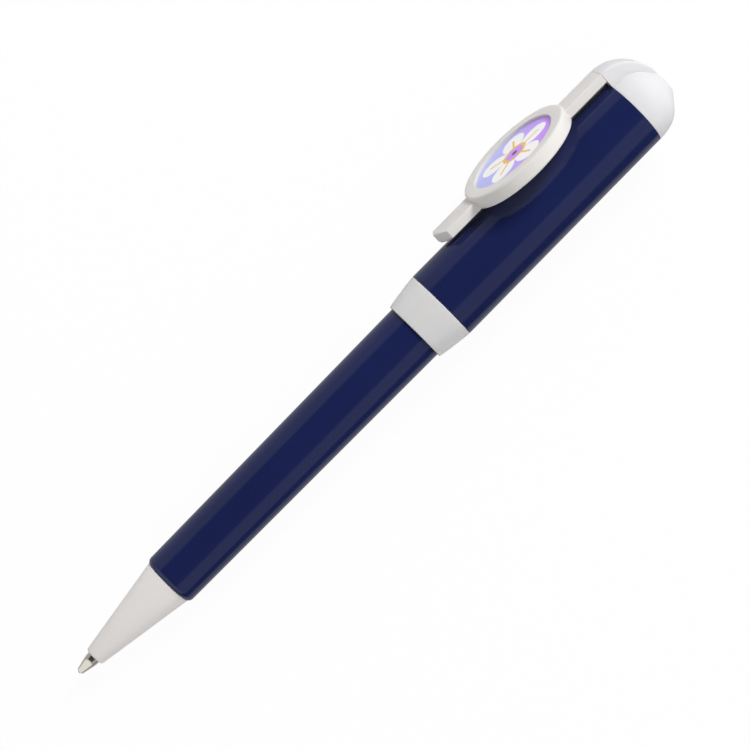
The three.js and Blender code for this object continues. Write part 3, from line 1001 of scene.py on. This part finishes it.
def floor_material():
    """Pale floor that keeps the pen's shadow and is white to the camera, with a painted reflection: in
    gloss it glows bright round the pen and dark beyond.
    """
    material = bpy.data.materials.new("floor")
    material.use_nodes = True
    tree = material.node_tree
    tree.nodes.remove(tree.nodes["Principled BSDF"])
    diffuse = feed(tree, add(tree, "ShaderNodeBsdfDiffuse"), Color=(FLOOR_GREY, FLOOR_GREY, FLOOR_GREY))
    split = add(tree, "ShaderNodeSeparateXYZ")
    tree.links.new(add(tree, "ShaderNodeTexCoord").outputs["Object"], split.inputs["Vector"])
    # Painted reflection: glossy rays see the floor glow, bright round the pen and dark farther out on the
    # side away from the clip
    painted_reflection = eased(tree, split.outputs["Y"], FLOOR_REFLECTION_EDGE, FLOOR_REFLECTION_LEVELS)
    path = add(tree, "ShaderNodeLightPath")
    mirrored = maths(tree, "MAXIMUM", path.outputs["Is Glossy Ray"], path.outputs["Is Transmission Ray"])
    level = maths(tree, "MAXIMUM", path.outputs["Is Camera Ray"], painted_reflection)
    glow = feed(tree, add(tree, "ShaderNodeEmission"), Color=(1, 1, 1), Strength=level)
    mix = add(tree, "ShaderNodeMixShader")
    shown = maths(tree, "MULTIPLY", path.outputs["Is Camera Ray"], FLOOR_WHITENESS)
    tree.links.new(maths(tree, "MAXIMUM", shown, mirrored), mix.inputs["Fac"])
    tree.links.new(diffuse.outputs["BSDF"], mix.inputs[1])
    tree.links.new(glow.outputs["Emission"], mix.inputs[2])
    tree.links.new(mix.outputs["Shader"], tree.nodes["Material Output"].inputs["Surface"])
    return material


def make_floor():
    bm = bmesh.new()
    bmesh.ops.create_grid(bm, x_segments=1, y_segments=1, size=3)
    mesh = bpy.data.meshes.new("floor")
    bm.to_mesh(mesh)
    bm.free()
    mesh.materials.append(floor_material())
    floor = bpy.data.objects.new("floor", mesh)
    bpy.context.scene.collection.objects.link(floor)


def make_world():
    """A pale room with a dark ceiling, which the camera sees as white.

    The ceiling comes lower on the clip's side and ends at a bright window beyond the nose.
    """
    world = bpy.data.worlds.new("room")
    bpy.context.scene.world = world
    world.use_nodes = True
    tree = world.node_tree
    split = add(tree, "ShaderNodeSeparateXYZ")
    tree.links.new(add(tree, "ShaderNodeTexCoord").outputs["Generated"], split.inputs["Vector"])
    height = maths(tree, "MULTIPLY_ADD", split.outputs["Y"], CEILING_TILT, split.outputs["Z"])
    walls = eased(tree, height, CEILING_EDGE, (ROOM_LEVEL, CEILING_LEVEL))
    window = eased(tree, split.outputs["X"], WINDOW_EDGE, (WINDOW_LEVEL, 0.0))
    room = maths(tree, "MAXIMUM", walls, window)
    path = add(tree, "ShaderNodeLightPath")
    seen = maths(tree, "MAXIMUM", path.outputs["Is Camera Ray"], room)
    feed(tree, tree.nodes["Background"], Color=(1, 1, 1), Strength=seen)


def area_light(name, place, size, power):
    """A square softbox that faces the pen and doesn't show in its gloss."""
    light = bpy.data.lights.new(name, "AREA")
    light.shape = "SQUARE"
    light.size = size
    light.energy = power
    holder = bpy.data.objects.new(name, light)
    holder.location = place
    holder.rotation_euler = Vector(place).to_track_quat("Z", "Y").to_euler()
    holder.visible_glossy = False
    bpy.context.scene.collection.objects.link(holder)


def make_camera(stage):
    """A long lens nearly straight above, turned so that the pen runs up to the right."""
    along, across, out = (Vector(column).normalized() for column in PEN.to_3x3().transposed())
    towards = math.cos(stage.view_from_clip) * out - math.sin(stage.view_from_clip) * across
    away = along.cross(towards)
    right = math.cos(stage.picture_turn) * along + math.sin(stage.picture_turn) * away
    up = math.sin(stage.picture_turn) * along - math.cos(stage.picture_turn) * away
    camera = bpy.data.cameras.new("camera")
    camera.sensor_width = 36
    camera.lens = 36 * stage.camera_distance / stage.picture_width
    camera.clip_start = 0.01
    holder = bpy.data.objects.new("camera", camera)
    aim = PEN @ Vector((mm(stage.aim_along), 0, 0)) + away * stage.aim_aside
    facing = Matrix((right, up, towards)).transposed().to_4x4()
    holder.matrix_world = Matrix.Translation(aim + towards * stage.camera_distance) @ facing
    bpy.context.scene.collection.objects.link(holder)
    bpy.context.scene.camera = holder


# Operators

class TWISTPEN_OT_nose(bpy.types.Operator):
    """Turn the white nose cone"""

    bl_idname = "twist_pen.nose"
    bl_label = "Nose"

    def execute(self, context):
        make_nose(context.scene.pen_sizes, context.scene.pen_colours)
        return {"FINISHED"}


class TWISTPEN_OT_barrels(bpy.types.Operator):
    """Turn the two navy barrels"""

    bl_idname = "twist_pen.barrels"
    bl_label = "Barrels"

    def execute(self, context):
        navy = navy_plastic(context.scene.pen_colours)
        make_lower_barrel(context.scene.pen_sizes, navy)
        make_upper_barrel(context.scene.pen_sizes, navy)
        return {"FINISHED"}


class TWISTPEN_OT_ring(bpy.types.Operator):
    """Turn the white centre ring"""

    bl_idname = "twist_pen.ring"
    bl_label = "Centre ring"

    def execute(self, context):
        make_ring(context.scene.pen_sizes, context.scene.pen_colours)
        return {"FINISHED"}


class TWISTPEN_OT_cap(bpy.types.Operator):
    """Make the domed cap with its rib"""

    bl_idname = "twist_pen.cap"
    bl_label = "Cap"

    def execute(self, context):
        make_cap(context.scene.pen_sizes, context.scene.pen_colours)
        return {"FINISHED"}


class TWISTPEN_OT_clip(bpy.types.Operator):
    """Make the clip with its disc, and the printed badge"""

    bl_idname = "twist_pen.clip"
    bl_label = "Clip and badge"

    def execute(self, context):
        make_clip(context.scene.pen_sizes, context.scene.pen_colours)
        make_badge(context.scene.pen_sizes, context.scene.pen_colours)
        return {"FINISHED"}


class TWISTPEN_OT_refill(bpy.types.Operator):
    """Make the metal point, its ball and the spring, and finish the hidden pieces"""

    bl_idname = "twist_pen.refill"
    bl_label = "Refill and mechanism"

    def execute(self, context):
        make_point(context.scene.pen_colours)
        make_ball()
        make_spring()
        finish_hidden_pieces()
        return {"FINISHED"}


class TWISTPEN_OT_stage(bpy.types.Operator):
    """Set up the floor, the room, the lights and the camera"""

    bl_idname = "twist_pen.stage"
    bl_label = "Stage"

    def execute(self, context):
        stage = context.scene.pen_stage
        make_floor()
        make_world()
        area_light("key", KEY_PLACE, KEY_WIDTH, stage.key_power)
        area_light("side", SIDE_PLACE, SIDE_WIDTH, stage.side_power)
        area_light("front", FRONT_PLACE, FRONT_WIDTH, stage.front_power)
        make_camera(stage)
        context.scene.view_settings.view_transform = "Standard"
        return {"FINISHED"}


OPERATORS = (
    TWISTPEN_OT_nose,
    TWISTPEN_OT_barrels,
    TWISTPEN_OT_ring,
    TWISTPEN_OT_cap,
    TWISTPEN_OT_clip,
    TWISTPEN_OT_refill,
    TWISTPEN_OT_stage,
)


class TWISTPEN_PT_panel(bpy.types.Panel):
    """Sizes, colours and pieces of the pen"""

    bl_idname = "TWISTPEN_PT_panel"
    bl_label = "Twist pen"
    bl_space_type = "VIEW_3D"
    bl_region_type = "UI"
    bl_category = "Pen"

    def draw(self, context):
        for settings in (context.scene.pen_sizes, context.scene.pen_colours, context.scene.pen_stage):
            box = self.layout.box()
            for name in settings.bl_rna.properties.keys():
                if name not in ("rna_type", "name"):
                    box.prop(settings, name)
        for operator in OPERATORS:
            self.layout.operator(operator.bl_idname)


CLASSES = (PenSizes, PenColours, StageSettings, *OPERATORS, TWISTPEN_PT_panel)


def register():
    for added in CLASSES:
        bpy.utils.register_class(added)
    bpy.types.Scene.pen_sizes = PointerProperty(type=PenSizes)
    bpy.types.Scene.pen_colours = PointerProperty(type=PenColours)
    bpy.types.Scene.pen_stage = PointerProperty(type=StageSettings)


def unregister():
    del bpy.types.Scene.pen_stage
    del bpy.types.Scene.pen_colours
    del bpy.types.Scene.pen_sizes
    for added in reversed(CLASSES):
        bpy.utils.unregister_class(added)


def main():
    register()
    moulded_group()
    bpy.ops.twist_pen.nose()
    bpy.ops.twist_pen.barrels()
    bpy.ops.twist_pen.ring()
    bpy.ops.twist_pen.cap()
    bpy.ops.twist_pen.clip()
    bpy.ops.twist_pen.refill()
    bpy.ops.twist_pen.stage()


if __name__ == "__main__":
    main()
